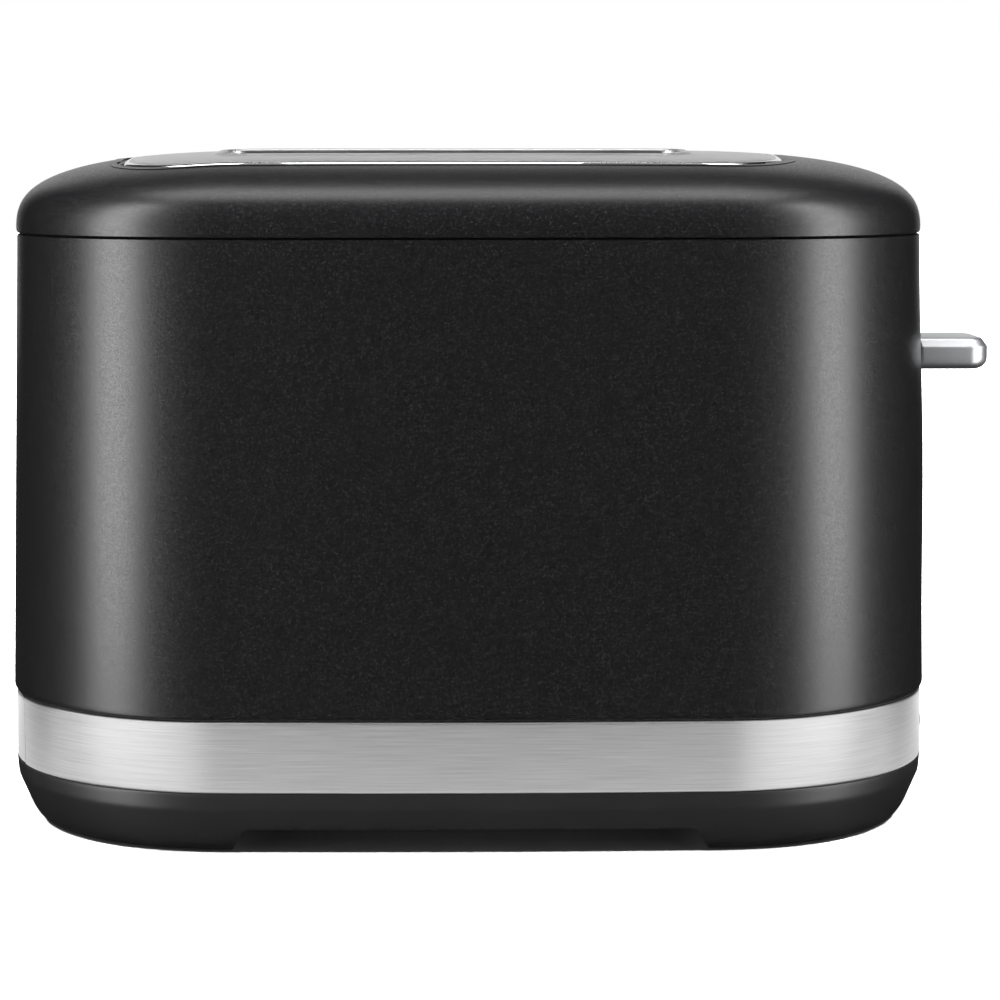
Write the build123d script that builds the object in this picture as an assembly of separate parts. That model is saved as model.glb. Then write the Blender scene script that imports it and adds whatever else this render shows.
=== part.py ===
"""Two-slot pop-up toaster as a bench assembly, in millimetres with +Z up.

The lever is at the +X end and the crumb tray pulls out of the -X end. Sub-parts are drawn about the
middle of the body, and moved at the end so that the origin is the middle of the whole footprint.
"""
from build123d import *
import os

# Body plan: a bowed rounded rectangle
HALF_LENGTH = 134.0
HALF_WIDTH = 89.0
END_BOW = 8.0
SIDE_BOW = 4.0
CORNER_RADIUS = 65.5

# Heights above the table
BASE_TOP = 18.6
BAND_TOP = 38.4
WRAP_BOTTOM = 38.6
WRAP_TOP = 170.4
CAP_BOTTOM = 170.9
CREST = 194.5

# Shells
BAND_INSET = 0.67
BAND_SHEET = 1.0
WRAP_SHEET = 1.2
WRAP_FLARE = 2.04
CAP_WALL = 2.4
CAP_INSET = 1.8
CAP_STEPS = [0, 0.6, 2.0, 4.5, 8.5, 14.0, 22.0, 33.0, 47.0, 62.0, 76.0]
CAP_POWER = 3.0
CAP_ROUND = 3.0
NECK_BOTTOM = 162.0
NECK_INSET = 3.5
NECK_WALL = 1.6
BASE_WALL = 2.4
BASE_PROFILE = [(0.5, 12.0), (1.2, 10.4), (3.0, 8.4), (6.4, 6.0), (13.4, 1.8), (14.6, 1.35), (18.6, 0.9)]
END_TUCK = 0.66
ARCH_HEIGHT = 7.5
ARCH_BOTTOM = 66.0
ARCH_TOP = 63.0
ARCH_FILLET = 3.0
VENT_COUNT = 9
VENT_PITCH = 11.0
VENT_LENGTH = 60.0
VENT_WIDTH = 3.5

# Crowned top panel with its two bread slots
PANEL_CENTRE = -4.6
PANEL_LENGTH = 188.7
PANEL_WIDTH = 124.0
PANEL_CORNER = 22.0
PANEL_SHEET = 1.2
PANEL_SEAT = 186.0
PANEL_GAP = 1.0
SLOT_LENGTH = 132.0
SLOT_WIDTH = 33.0
SLOT_CORNER = 6.0
SLOT_Y = 28.0
LIP_WIDTH = 2.2
LIP_HEIGHT = 0.5
THROAT_BOTTOM = 180.0
CAP_OPENING = 3.0

# Bread lift: everything here is at rest, with the bread up
LIFT_TRAVEL = 62.0
LIFT_ROD = (79.0, 14.0)
ROD_RADIUS = 2.5
RUNNING_GAP = 0.05
HUB_RADIUS = 4.5
CARRIAGE_Z = (104.0, 142.0)
CARRIAGE_X = 82.5
CARRIAGE_SHEET = 1.5
RACK_Z = (106.0, 112.0)
LEVER_Z = 134.0
LEVER_HEIGHT = 8.8
LEVER_WIDTH = 30.0
LEVER_REACH = 20.6
LEVER_GAP = 0.1
LEVER_CORNER = 6.0
LEVER_EDGE = 1.6
ARM_X = 150.0
ARM_HALF = (1.5, 3.0)
WINDOW_HALF = 6.5
WINDOW_ABOVE = 21.5
WINDOW_BELOW = 8.5
WINDOW_GRIP = 3.0
BEZEL_DEPTH = 1.6
KEEPER_Z = 120.3
KEEPER_SHEET = 2.2
MAGNET_X = (90.0, 104.0)
MAGNET_HALF = 11.0
MAGNET_TOP = 58.0

# Chassis around the two toasting chambers
FLOOR_Z = 39.0
SHEET = 1.0
CHAMBER = (-74.5, 65.0)
CHASSIS_HALF_WIDTH = 57.0
FRAME_Z = 176.0
CARD_Y = 50.0
CARD_SHEET = 0.8
CAGE_PIVOT_Z = 47.0
CAGE_TOP_Z = 170.0
CAGE_OFFSET = 14.0
WIRE = 1.0
CROSS_WIRE = 0.8
PIN_GAP = 0.08
BAR_COUNT = 10
BAR_PITCH = 13.7
BAR_START = -66.0
RIBBON_RUNS = 11
RIBBON_HEIGHT = 1.8
RIBBON_SHEET = 0.3

# Crumb tray
TRAY_HALF_WIDTH = 45.0
TRAY_DOOR_HALF_WIDTH = 46.9
TRAY_Z = (27.0, 33.0)

# Controls in the band at the lever end
BUTTON_NAMES = [f"{word}_button" for word in ("defrost", "bagel", "minus", "plus", "warm", "cancel")]
BUTTON_PITCH = 9.6
BUTTON_Z = 27.0
BUTTON_RADIUS = 3.8
BUTTON_CLEARANCE = 0.25
BUTTON_PROUD = 0.35
BUTTON_FLANGE = 0.7
LENS_Z = 34.3
LENS_RADIUS = 1.0
LENS_PROUD = 0.2
LENS_PITCH = 4.0
FUNCTION_LENSES = (18.5, 25.0)
BOARD_X = 117.0
BOARD_SHEET = 1.6
BOARD_HALF_WIDTH = 34.0
SWITCH_DEPTH = 3.4

# Feet, posts and screws
PAD_PLACES = [(x, y) for x in (-100.0, 100.0) for y in (-38.0, 38.0)]
POST_PLACES = [(x, y) for x in (-90.0, 90.0) for y in (-58.0, 58.0)]
PAD_RADIUS = 8.0
POST_RADIUS = 4.5
SCREW_RADIUS = 1.5
FLANGE = 8.0
GLAND_PLACE = (-50.0, 62.0)
GLAND_FLANGE = 7.0
GLAND_BUSH = 5.0
GLAND_TOP = 14.0
FLANGE_RECESS = 1.5


def block(x, y, z):
    """Box between two limits on each axis."""
    return Pos(sum(x) / 2, sum(y) / 2, sum(z) / 2) * Box(x[1] - x[0], y[1] - y[0], z[1] - z[0])


def post(x, y, radius, z):
    """Upright cylinder between two heights."""
    return Pos(x, y, sum(z) / 2) * Cylinder(radius, z[1] - z[0])


def rod_x(x, y, z, radius):
    """Cylinder along X between two limits."""
    return Pos(sum(x) / 2, y, z) * Rot(0, 90, 0) * Cylinder(radius, x[1] - x[0])


def plan(inset):
    """Plan outline of the body, drawn in by an inset; its bows and corners shrink with it."""
    shrink = 1 - inset / HALF_WIDTH
    x = HALF_LENGTH - inset
    y = HALF_WIDTH - inset
    corner_x = x - END_BOW * shrink
    corner_y = y - SIDE_BOW * shrink
    sides = [
        ThreePointArc((-corner_x, -corner_y), (0, -y), (corner_x, -corner_y)),
        ThreePointArc((corner_x, -corner_y), (x, 0), (corner_x, corner_y)),
        ThreePointArc((corner_x, corner_y), (0, y), (-corner_x, corner_y)),
        ThreePointArc((-corner_x, corner_y), (-x, 0), (-corner_x, -corner_y)),
    ]
    sheet = make_face(sides)
    return fillet(sheet.vertices(), CORNER_RADIUS * shrink)


def stack(profile, ruled=True):
    """Solid through plan outlines given as (height, inset)."""
    return loft([Pos(0, 0, z) * plan(inset) for z, inset in profile], ruled=ruled)


def base_stack(profile):
    """Solid of the base, whose ends tuck in less than its long sides."""
    sections = []
    for z, inset in profile:
        fuller = (HALF_LENGTH - END_TUCK * inset) / (HALF_LENGTH - inset)
        sections.append(Pos(0, 0, z) * scale(plan(inset), by=(fuller, 1, 1)))
    return loft(sections, ruled=True)


def prism(inset, z):
    """Straight-sided solid of one plan outline."""
    return Pos(0, 0, z[0]) * extrude(plan(inset), z[1] - z[0])


def dome_height(inset):
    """Height of the cap's skin above a point drawn in from the plan outline."""
    run = 1 - inset / HALF_WIDTH
    return CAP_BOTTOM + (CREST - CAP_BOTTOM) * (1 - run ** CAP_POWER) ** (1 / CAP_ROUND)


def dome(wall):
    """Solid under the cap's skin, or under its inner face when a wall is given."""
    narrowing = 1 - CAP_INSET / HALF_WIDTH
    sections = []
    for inset in CAP_STEPS:
        flat = min(1.0, inset / CAP_STEPS[4])
        drawn_in = CAP_INSET + inset * narrowing
        sections.append((dome_height(inset) - wall * flat, drawn_in + wall * (1 - flat)))
    return stack(sections, ruled=False)


SKIN = dome(0)


def panel_prism(grow, z):
    """Prism of the top panel's outline, grown outward."""
    outline = RectangleRounded(PANEL_LENGTH + 2 * grow, PANEL_WIDTH + 2 * grow, PANEL_CORNER + grow)
    return Pos(PANEL_CENTRE, 0, z[0]) * extrude(outline, z[1] - z[0])


def slot_prism(side, grow, z):
    """Prism of one bread slot's outline, grown outward."""
    outline = RectangleRounded(SLOT_LENGTH + 2 * grow, SLOT_WIDTH + 2 * grow, SLOT_CORNER + grow)
    return Pos(PANEL_CENTRE, side * SLOT_Y, z[0]) * extrude(outline, z[1] - z[0])


def arch(wall):
    """Gap between the feet, running from front to back."""
    low = ARCH_BOTTOM + wall
    high = ARCH_TOP + wall
    top = ARCH_HEIGHT + wall
    outline = Polyline((-low - 0.4, -1), (-high, top), (high, top), (low + 0.4, -1), close=True)
    section = make_face(outline)
    corners = section.vertices().sort_by(Axis.Y)[2:]
    section = fillet(corners, ARCH_FILLET)
    return extrude(Plane.XZ * section, HALF_WIDTH + 10, both=True)


def base():
    """Plastic tub with two long feet, screw posts and vents."""
    shell = base_stack(BASE_PROFILE) - arch(0)
    hollow = base_stack([(z + BASE_WALL, inset + BASE_WALL + 0.2) for z, inset in BASE_PROFILE])
    shell -= hollow - arch(BASE_WALL)
    for x, y in PAD_PLACES:
        shell += post(x, y, PAD_RADIUS + 2, (2.0, 5.4))
        shell -= post(x, y, PAD_RADIUS + 0.1, (0, 3.0))
    for x, y in POST_PLACES:
        shell += post(x, y, POST_RADIUS, (2.0, FLOOR_Z))
        shell -= post(x, y, SCREW_RADIUS + 0.1, (0, 30))
        shell -= post(x, y, 3.8, (0, 4.5))
    vent = extrude(SlotOverall(VENT_LENGTH, VENT_WIDTH, rotation=90), 6, both=True)
    for step in range(VENT_COUNT):
        shell -= Pos((step - (VENT_COUNT - 1) / 2) * VENT_PITCH, 0, ARCH_HEIGHT) * vent
    shell -= post(*GLAND_PLACE, GLAND_BUSH + 0.1, (0, 20))
    return shell - post(*GLAND_PLACE, GLAND_FLANGE + 0.1, (0, ARCH_HEIGHT + FLANGE_RECESS))


def foot_pads():
    """Four rubber pads set into the feet."""
    return [post(x, y, PAD_RADIUS, (0, 3.0)) for x, y in PAD_PLACES]


def base_screws():
    """Screws from below, up into the posts."""
    return [post(x, y, 3.4, (2.3, 4.5)) + post(x, y, SCREW_RADIUS, (4.5, 26)) for x, y in POST_PLACES]


def button_places():
    """Y position of each push-button."""
    return [(step - 2.5) * BUTTON_PITCH for step in range(6)]


def lens_places():
    """Y positions of the browning lights and of the four function lights."""
    browning = [(step - 3) * LENS_PITCH for step in range(7)]
    functions = [side * y for side in (-1, 1) for y in FUNCTION_LENSES]
    return browning + functions


def steel_band():
    """Brushed band, open at the crumb tray and pierced for the controls."""
    ring = prism(BAND_INSET, (BASE_TOP, BAND_TOP)) - prism(BAND_INSET + BAND_SHEET, (BASE_TOP, BAND_TOP))
    door = TRAY_DOOR_HALF_WIDTH + 0.3
    ring -= block((-140, -100), (-door, door), (BASE_TOP, BAND_TOP))
    for y in button_places():
        ring -= rod_x((110, 140), y, BUTTON_Z, BUTTON_RADIUS + BUTTON_CLEARANCE)
    for y in lens_places():
        ring -= rod_x((110, 140), y, LENS_Z, LENS_RADIUS + 0.1)
    return ring


def lever_window(grow, depth):
    """Upright opening in the lever end, grown outward."""
    low = LEVER_Z - LIFT_TRAVEL - WINDOW_BELOW - grow
    high = LEVER_Z + WINDOW_ABOVE + grow
    half = WINDOW_HALF + grow
    return block(depth, (-half, half), (low, high))


def wrap_solid(depth):
    """Tapered solid of the wrap's outline, drawn in by a depth."""
    return stack([(WRAP_BOTTOM, depth), (WRAP_TOP, WRAP_FLARE + depth)])


def body_wrap():
    """Painted steel wrap, slightly wider at the foot."""
    return wrap_solid(0) - wrap_solid(WRAP_SHEET) - lever_window(0, (110, 140))


def lever_slot_bezel():
    """Plastic trim that lines the lever's slot, with a flange behind the wrap."""
    trim = lever_window(-0.15, (125, 136)) & wrap_solid(0)
    flange = lever_window(3.0, (125, 136)) & wrap_solid(WRAP_SHEET + 0.05)
    whole = (trim + flange) - wrap_solid(WRAP_SHEET + BEZEL_DEPTH)
    slot = (LEVER_Z - LIFT_TRAVEL - 5, LEVER_Z + 17)
    return whole - block((120, 140), (-WINDOW_GRIP, WINDOW_GRIP), slot)


def top_housing():
    """Domed cap with a pocket for the panel and a neck inside the wrap."""
    cap = SKIN - dome(CAP_WALL) - prism(CAP_INSET + CAP_WALL, (CAP_BOTTOM - 1, CAP_BOTTOM + 0.5))
    neck_z = (NECK_BOTTOM, CAP_BOTTOM + 1.2)
    neck = prism(NECK_INSET, neck_z) - prism(NECK_INSET + NECK_WALL, neck_z)
    pocket = SKIN & panel_prism(PANEL_GAP + 2.0, (PANEL_SEAT - 2, CREST + 1))
    cap = cap + neck + pocket - panel_prism(PANEL_GAP, (PANEL_SEAT, CREST + 1))
    for side in (-1, 1):
        cap -= slot_prism(side, CAP_OPENING, (150, CREST + 1))
    return cap


def top_panel():
    """Crowned sheet with a turned-down rim, bread slots, raised lips and throats."""
    top = CREST + 2
    under = Pos(0, 0, -PANEL_SHEET) * SKIN
    plate = (SKIN & panel_prism(0, (PANEL_SEAT, top))) - under
    rim = panel_prism(0, (PANEL_SEAT, top)) - panel_prism(-PANEL_SHEET, (PANEL_SEAT, top))
    plate += rim & SKIN
    raised = Pos(0, 0, LIP_HEIGHT) * SKIN
    for side in (-1, 1):
        plate += (slot_prism(side, LIP_WIDTH, (PANEL_SEAT, top)) & raised) - under
        plate += slot_prism(side, PANEL_SHEET, (THROAT_BOTTOM, top)) & SKIN
        plate -= slot_prism(side, 0, (170, top))
    return plate


def chassis_floor():
    """Sheet that carries the chassis, open above the crumb tray."""
    sheet = prism(3.0, (FLOOR_Z, FLOOR_Z + SHEET))
    sheet -= block((CHAMBER[0] + 3, CHAMBER[1] - 2), (-47, 47), (30, 50))
    for x, y in flange_screw_places():
        sheet -= post(x, y, SCREW_RADIUS + 0.1, (30, 50))
    return sheet


def flange_screw_places():
    """Screws through the end plates' feet."""
    return [(x, y) for x in (CHAMBER[0] - SHEET - 4.5, CHAMBER[1] + SHEET + 4.5) for y in (-50.0, 50.0)]


def chassis_screws():
    """Four screws that hold the end plates to the floor."""
    head = FLOOR_Z + 2 * SHEET
    return [
        post(x, y, 3.0, (head, head + 2)) + post(x, y, SCREW_RADIUS, (head - 6, head))
        for x, y in flange_screw_places()
    ]


def end_plate(face, outward):
    """Upright plate at one end of the chambers, with rack slots and cage pivot holes."""
    low = FLOOR_Z + SHEET
    x = sorted((face, face + outward * SHEET))
    foot = sorted((face, face + outward * (SHEET + FLANGE)))
    half = CHASSIS_HALF_WIDTH
    plate = block(x, (-half, half), (low, FRAME_Z)) + block(foot, (-half, half), (low, low + SHEET))
    for side in (-1, 1):
        y = side * SLOT_Y
        plate -= block(x, (y - 2, y + 2), (low + 1.5, RACK_Z[1] + 14))
        for offset in (-CAGE_OFFSET, CAGE_OFFSET):
            plate -= rod_x((face - 3, face + 3), y + offset, CAGE_PIVOT_Z, WIRE + PIN_GAP)
    for x, y in flange_screw_places():
        plate -= post(x, y, SCREW_RADIUS + 0.1, (30, 50))
    return plate


def top_frame():
    """Sheet that ties the end plates together under the panel."""
    half = CHASSIS_HALF_WIDTH
    sheet = block((CHAMBER[0] - 8, LIFT_ROD[0] + 13), (-half, half), (FRAME_Z, FRAME_Z + SHEET))
    for side in (-1, 1):
        sheet -= slot_prism(side, 1.5, (FRAME_Z, FRAME_Z + SHEET))
    return sheet


def reflector(side):
    """Bright sheet behind an outer heater card."""
    y = sorted((side * (CHASSIS_HALF_WIDTH - 1), side * (CHASSIS_HALF_WIDTH - 1.6)))
    return block(CHAMBER, y, (44, 174))


def heater_card(y):
    """Mica card that spans the chamber."""
    return block(CHAMBER, (y - CARD_SHEET / 2, y + CARD_SHEET / 2), (46, 172))


def heater_ribbons(y, faces):
    """Runs of flat heating ribbon on one or both faces of a card, laid closer near the foot."""
    runs = []
    for face in faces:
        near = y + face * CARD_SHEET / 2
        for step in range(RIBBON_RUNS):
            z = 54 + 108 * (step / (RIBBON_RUNS - 1)) ** 1.15
            across = sorted((near, near + face * RIBBON_SHEET))
            runs.append(block((CHAMBER[0] + 6, CHAMBER[1] - 6), across, (z, z + RIBBON_HEIGHT)))
    return runs


def guide_cage(y):
    """Wire frame that leans in against the bread, pivoting on its bottom wire."""
    cage = rod_x((CHAMBER[0] - 2, CHAMBER[1] + 2), y, CAGE_PIVOT_Z, WIRE)
    cage += rod_x((-69, 60), y, CAGE_TOP_Z, WIRE)
    for step in range(BAR_COUNT):
        cage += post(BAR_START + step * BAR_PITCH, y, CROSS_WIRE, (CAGE_PIVOT_Z, CAGE_TOP_Z))
    return cage


def guide_rods():
    """Two upright rods for the carriage."""
    x, y = LIFT_ROD
    return [post(x, side * y, ROD_RADIUS, (FLOOR_Z + SHEET, FRAME_Z)) for side in (-1, 1)]


def lever_arm(start):
    """Flat arm from the carriage into the grip."""
    half_width, half_height = ARM_HALF
    return block((start, ARM_X), (-half_width, half_width), (LEVER_Z - half_height, LEVER_Z + half_height))


def carriage():
    """Lift plate with two bored hubs, the lever arm, the keeper's shelf and the switch finger."""
    x, y = LIFT_ROD
    plate_x = (CARRIAGE_X, CARRIAGE_X + CARRIAGE_SHEET)
    body = block(plate_x, (-33, 33), (RACK_Z[0], CARRIAGE_Z[1]))
    for side in (-1, 1):
        body += post(x, side * y, HUB_RADIUS, CARRIAGE_Z)
    body += block((x - 3, CARRIAGE_X), (-3, 3), (CARRIAGE_Z[1] - 1.5, CARRIAGE_Z[1]))
    body += lever_arm(CARRIAGE_X)
    shelf_z = KEEPER_Z + KEEPER_SHEET
    shelf = block((CARRIAGE_X, MAGNET_X[1]), (-MAGNET_HALF, MAGNET_HALF), (shelf_z, shelf_z + CARRIAGE_SHEET))
    body += shelf
    body += block((CARRIAGE_X, 98), (-29, -25), (112, 114))
    for side in (-1, 1):
        body -= post(x, side * y, ROD_RADIUS + RUNNING_GAP, (90, 150))
    return body


def lever_handle():
    """Flat metal grip with rounded corners, pushed onto the carriage's arm."""
    x = (HALF_LENGTH + LEVER_GAP, HALF_LENGTH + LEVER_REACH)
    half = LEVER_HEIGHT / 2
    grip = block(x, (-LEVER_WIDTH / 2, LEVER_WIDTH / 2), (LEVER_Z - half, LEVER_Z + half))
    corners = grip.edges().filter_by(Axis.Z).group_by(Axis.X)[-1]
    grip = fillet(corners, LEVER_CORNER)
    tip_faces = grip.faces().group_by(Axis.X)[0]
    edges = [edge for edge in grip.edges().filter_by(Axis.Z, reverse=True) if edge not in tip_faces.edges()]
    return fillet(edges, LEVER_EDGE) - lever_arm(x[0])


def bread_rack(side):
    """Strip through both end plates, with cross bars that carry the slice."""
    y = side * SLOT_Y
    rack = block((CHAMBER[0] - 4.5, CARRIAGE_X), (y - 1, y + 1), RACK_Z)
    for step in range(BAR_COUNT):
        x = BAR_START + step * BAR_PITCH
        rack += block((x - 2.5, x + 2.5), (y - 6, y + 6), (RACK_Z[1] - 1.2, RACK_Z[1]))
    return rack


def keeper_plate():
    """Iron plate that the magnet holds at the bottom of the stroke."""
    return block(MAGNET_X, (-MAGNET_HALF, MAGNET_HALF), (KEEPER_Z, KEEPER_Z + KEEPER_SHEET))


def magnet_core():
    """Three-legged iron core on the chassis floor."""
    low = FLOOR_Z + SHEET
    core = block(MAGNET_X, (-MAGNET_HALF, MAGNET_HALF), (low, MAGNET_TOP))
    for side in (-1, 1):
        core -= block(MAGNET_X, sorted((side * 3, side * 8.5)), (low + 4, MAGNET_TOP))
    return core


def magnet_coil():
    """Winding around the middle leg."""
    front, back = MAGNET_X
    coil = block((front - 2.5, back + 2.5), (-8.2, 8.2), (44.2, 56))
    return coil - block((front - 0.2, back + 0.2), (-3.2, 3.2), (44.2, 56))


def return_spring():
    """Extension spring from the top frame down to the carriage."""
    low = CARRIAGE_Z[1] + 0.5
    high = FRAME_Z - 0.5
    path = Helix(pitch=(high - low) / 13, height=high - low, radius=3.6)
    section = Plane(origin=path @ 0, z_dir=path % 0) * Circle(0.45)
    return Pos(LIFT_ROD[0] - 1, 0, low) * sweep(section, path=path)


def mains_switch():
    """Contact block under the carriage's switch finger."""
    return block((90, 104), (-32, -22), (FLOOR_Z + SHEET, 48)) + block((92, 100), (-29, -25), (48, 49.4))


def main_board():
    """Power board beside the lift."""
    return block((74.5, 112), (44, 45.6), (FLOOR_Z + SHEET, 120))


def board_components():
    """Relay, capacitors, resistor pack and heat sink on the power board."""
    face = 45.6
    relay = block((76, 95), (face, face + 12), (52, 68))
    sink = block((100, 108), (face, face + 8), (52, 74))
    pack = block((78, 96), (face, face + 4), (104, 110))
    can = Rot(90, 0, 0) * Cylinder(4, 11)
    return [relay, sink, pack] + [Pos(x, face + 5.5, 92) * can for x in (82, 94, 104)]


def terminal_block():
    """Screw terminals for the mains lead."""
    body = block((-107, -85), (38, 52), (FLOOR_Z + SHEET, 53))
    for step in range(3):
        body -= post(-103 + step * 7.0, 45, 2.2, (47, 60))
    return body


def cord_gland():
    """Bush in the roof of the arch where a mains lead would enter."""
    x, y = GLAND_PLACE
    seat = ARCH_HEIGHT + FLANGE_RECESS
    bush = post(x, y, GLAND_FLANGE, (ARCH_HEIGHT, seat)) + post(x, y, GLAND_BUSH, (seat, GLAND_TOP))
    return bush - post(x, y, 3.6, (0, 20))


def tray_rails():
    """Angle rails hung from the floor, one under each edge of the pan."""
    rails = []
    for side in (-1, 1):
        web = block((-118, 66), sorted((side * 47, side * 48)), (25.6, FLOOR_Z))
        foot = block((-118, 66), sorted((side * 43.5, side * 48)), (25.6, TRAY_Z[0] - 0.3))
        rails.append(web + foot)
    return rails


def crumb_tray_pan():
    """Shallow pan under both chambers, its front following the band."""
    half = TRAY_HALF_WIDTH
    end = CHAMBER[1] - 1
    behind_door = BAND_INSET + 1.25
    outside = block((-140, end), (-half, half), TRAY_Z) & prism(behind_door, TRAY_Z)
    space = (TRAY_Z[0] + 1, TRAY_Z[1] + 1)
    inside = block((-140, end - 1), (-half + 1, half - 1), space) & prism(behind_door + 1, space)
    return outside - inside


def crumb_tray_door():
    """Curved front of the tray, flush with the band."""
    z = (BASE_TOP + 0.3, BAND_TOP - 0.3)
    skin = prism(BAND_INSET, z) - prism(BAND_INSET + 1.2, z)
    return skin & block((-140, -100), (-TRAY_DOOR_HALF_WIDTH, TRAY_DOOR_HALF_WIDTH), z)


def push_button(y):
    """Round button whose face follows the band, with a flange that keeps it in."""
    outside = prism(BAND_INSET - BUTTON_PROUD, (BASE_TOP, BAND_TOP))
    stem = rod_x((BOARD_X + 6.4, 140), y, BUTTON_Z, BUTTON_RADIUS) & outside
    return stem + rod_x((124.5, 126), y, BUTTON_Z, BUTTON_RADIUS + BUTTON_FLANGE)


def button_board():
    """Circuit board behind the band."""
    return block((BOARD_X, BOARD_X + BOARD_SHEET), (-BOARD_HALF_WIDTH, BOARD_HALF_WIDTH), (20, FLOOR_Z))


def button_switches():
    """One small switch behind each button."""
    x = (BOARD_X + BOARD_SHEET, BOARD_X + BOARD_SHEET + SWITCH_DEPTH)
    return [block(x, (y - 3, y + 3), (BUTTON_Z - 3, BUTTON_Z + 3)) for y in button_places()]


def indicator_lenses():
    """Clear light pipes from the board to the band's surface."""
    outside = prism(BAND_INSET - LENS_PROUD, (BASE_TOP, BAND_TOP))
    return [rod_x((BOARD_X + BOARD_SHEET, 140), y, LENS_Z, LENS_RADIUS) & outside for y in lens_places()]


def all_parts():
    """Every node with its solids."""
    parts = {
        "base": base(),
        "foot_pads": foot_pads(),
        "base_screws": base_screws(),
        "steel_band": steel_band(),
        "body_wrap": body_wrap(),
        "lever_slot_bezel": lever_slot_bezel(),
        "top_housing": top_housing(),
        "top_panel": top_panel(),
        "chassis_floor": chassis_floor(),
        "chassis_screws": chassis_screws(),
        "end_plate_left": end_plate(CHAMBER[0], -1),
        "end_plate_right": end_plate(CHAMBER[1], 1),
        "top_frame": top_frame(),
        "guide_rods": guide_rods(),
        "carriage": carriage(),
        "lever_handle": lever_handle(),
        "keeper_plate": keeper_plate(),
        "magnet_core": magnet_core(),
        "magnet_coil": magnet_coil(),
        "return_spring": return_spring(),
        "mains_switch": mains_switch(),
        "main_board": main_board(),
        "board_components": board_components(),
        "terminal_block": terminal_block(),
        "cord_gland": cord_gland(),
        "tray_rails": tray_rails(),
        "crumb_tray_pan": crumb_tray_pan(),
        "crumb_tray_door": crumb_tray_door(),
        "button_board": button_board(),
        "button_switches": button_switches(),
        "indicator_lenses": indicator_lenses(),
    }
    for name, side in (("front", -1), ("rear", 1)):
        parts[f"reflector_{name}"] = reflector(side)
        parts[f"bread_rack_{name}"] = bread_rack(side)
        parts[f"guide_cage_{name}_inner"] = guide_cage(side * (SLOT_Y - CAGE_OFFSET))
        parts[f"guide_cage_{name}_outer"] = guide_cage(side * (SLOT_Y + CAGE_OFFSET))
    for name, y, faces in (("front", -CARD_Y, (1,)), ("centre", 0.0, (-1, 1)), ("rear", CARD_Y, (-1,))):
        parts[f"heater_card_{name}"] = heater_card(y)
        parts[f"heater_ribbon_{name}"] = heater_ribbons(y, faces)
    for name, y in zip(BUTTON_NAMES, button_places()):
        parts[name] = push_button(y)
    return parts


def main():
    """Write one STEP file per node, about the middle of the footprint."""
    os.makedirs("parts", exist_ok=True)
    to_origin = Pos(-LEVER_REACH / 2, 0, 0)
    for name, shape in all_parts().items():
        solids = shape if isinstance(shape, list) else shape.solids()
        export_step(to_origin * Compound(children=solids), f"parts/{name}.step")


main()
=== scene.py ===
"""Two-slot pop-up toaster in satin black, with a brushed steel band and a brushed steel top.

The lever is at the +X end, the crumb tray pulls out of the -X end, and +Z is up. Shapes are drawn in
millimetres about the middle of the body, and become metres in the frame's own place when a piece is made.
"""
import math

import bmesh
import bpy
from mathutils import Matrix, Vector
from mathutils.geometry import delaunay_2d_cdt


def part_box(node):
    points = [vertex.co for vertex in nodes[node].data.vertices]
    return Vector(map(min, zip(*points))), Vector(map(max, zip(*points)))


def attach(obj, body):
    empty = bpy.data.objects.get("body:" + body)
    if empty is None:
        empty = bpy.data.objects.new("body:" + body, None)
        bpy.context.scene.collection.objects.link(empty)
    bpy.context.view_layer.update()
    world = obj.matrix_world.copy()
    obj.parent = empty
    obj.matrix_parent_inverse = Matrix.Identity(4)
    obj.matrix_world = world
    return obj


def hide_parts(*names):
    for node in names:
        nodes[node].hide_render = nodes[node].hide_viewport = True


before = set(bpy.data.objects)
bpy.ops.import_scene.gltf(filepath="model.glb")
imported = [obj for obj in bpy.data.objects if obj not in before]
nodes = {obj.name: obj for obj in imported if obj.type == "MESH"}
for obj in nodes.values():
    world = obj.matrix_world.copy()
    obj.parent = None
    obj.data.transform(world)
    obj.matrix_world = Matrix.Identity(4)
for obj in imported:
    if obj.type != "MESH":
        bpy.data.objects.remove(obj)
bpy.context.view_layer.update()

MM = 0.001
BASE_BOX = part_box("base")
BAND_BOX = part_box("steel_band")
MIDDLE = (BASE_BOX[0].x + BASE_BOX[1].x) / 2 / MM

# Body plan: a bowed rounded rectangle
HALF_LENGTH = 134.0
HALF_WIDTH = 89.0
END_BOW = 8.0
SIDE_BOW = 4.0
CORNER_RADIUS = 65.5

# Heights and edges
BASE_TOP = BAND_BOX[0].z / MM
BAND_TOP = BAND_BOX[1].z / MM
END_TUCK = 0.66
BAND_INSET = 0.67
BAND_SHEET = 1.0
WRAP_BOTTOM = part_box("body_wrap")[0].z / MM
WRAP_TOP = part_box("body_wrap")[1].z / MM
WRAP_FLARE = 2.04
WRAP_SHEET = 1.2
WINDOW_HALF = 6.5
WRAP_ROLL = 1.8
WINDOW_Z = (63.5, 155.5)
SWELL = 0.6
SWELL_Z = (55.0, 160.0)
SWELL_FADE = (66.0, 36.0)
CAP_INSET = 1.8
CREST = 194.5
CAP_POWER = 3.0
CAP_ROUND = 3.0
CAP_EDGE = 170.9
NECK_INSET = 3.5
NECK_WALL = 1.6
NECK_BOTTOM = 162.0

# Base: the arch under it, its vents and the seats of its pads
ARCH_HALF = 63.0
ARCH_HEIGHT = 7.5
ARCH_CORNER = 3.0
ARCH_FOOT = (69.4, -6.0)
VENT_PITCH = 11.0
VENT_HALF = (1.75, 30.0)
VENT_CORNER = 1.7
PAD_AT = (100.0, 38.0)
PAD_RADIUS = 8.3

# Crumb tray's door in the band
BAND_EDGE = 0.6
DOOR_HALF = 46.9
DOOR_GAP = 0.6
DOOR_SHEET = 1.2
DOOR_TRIM = 0.3

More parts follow.
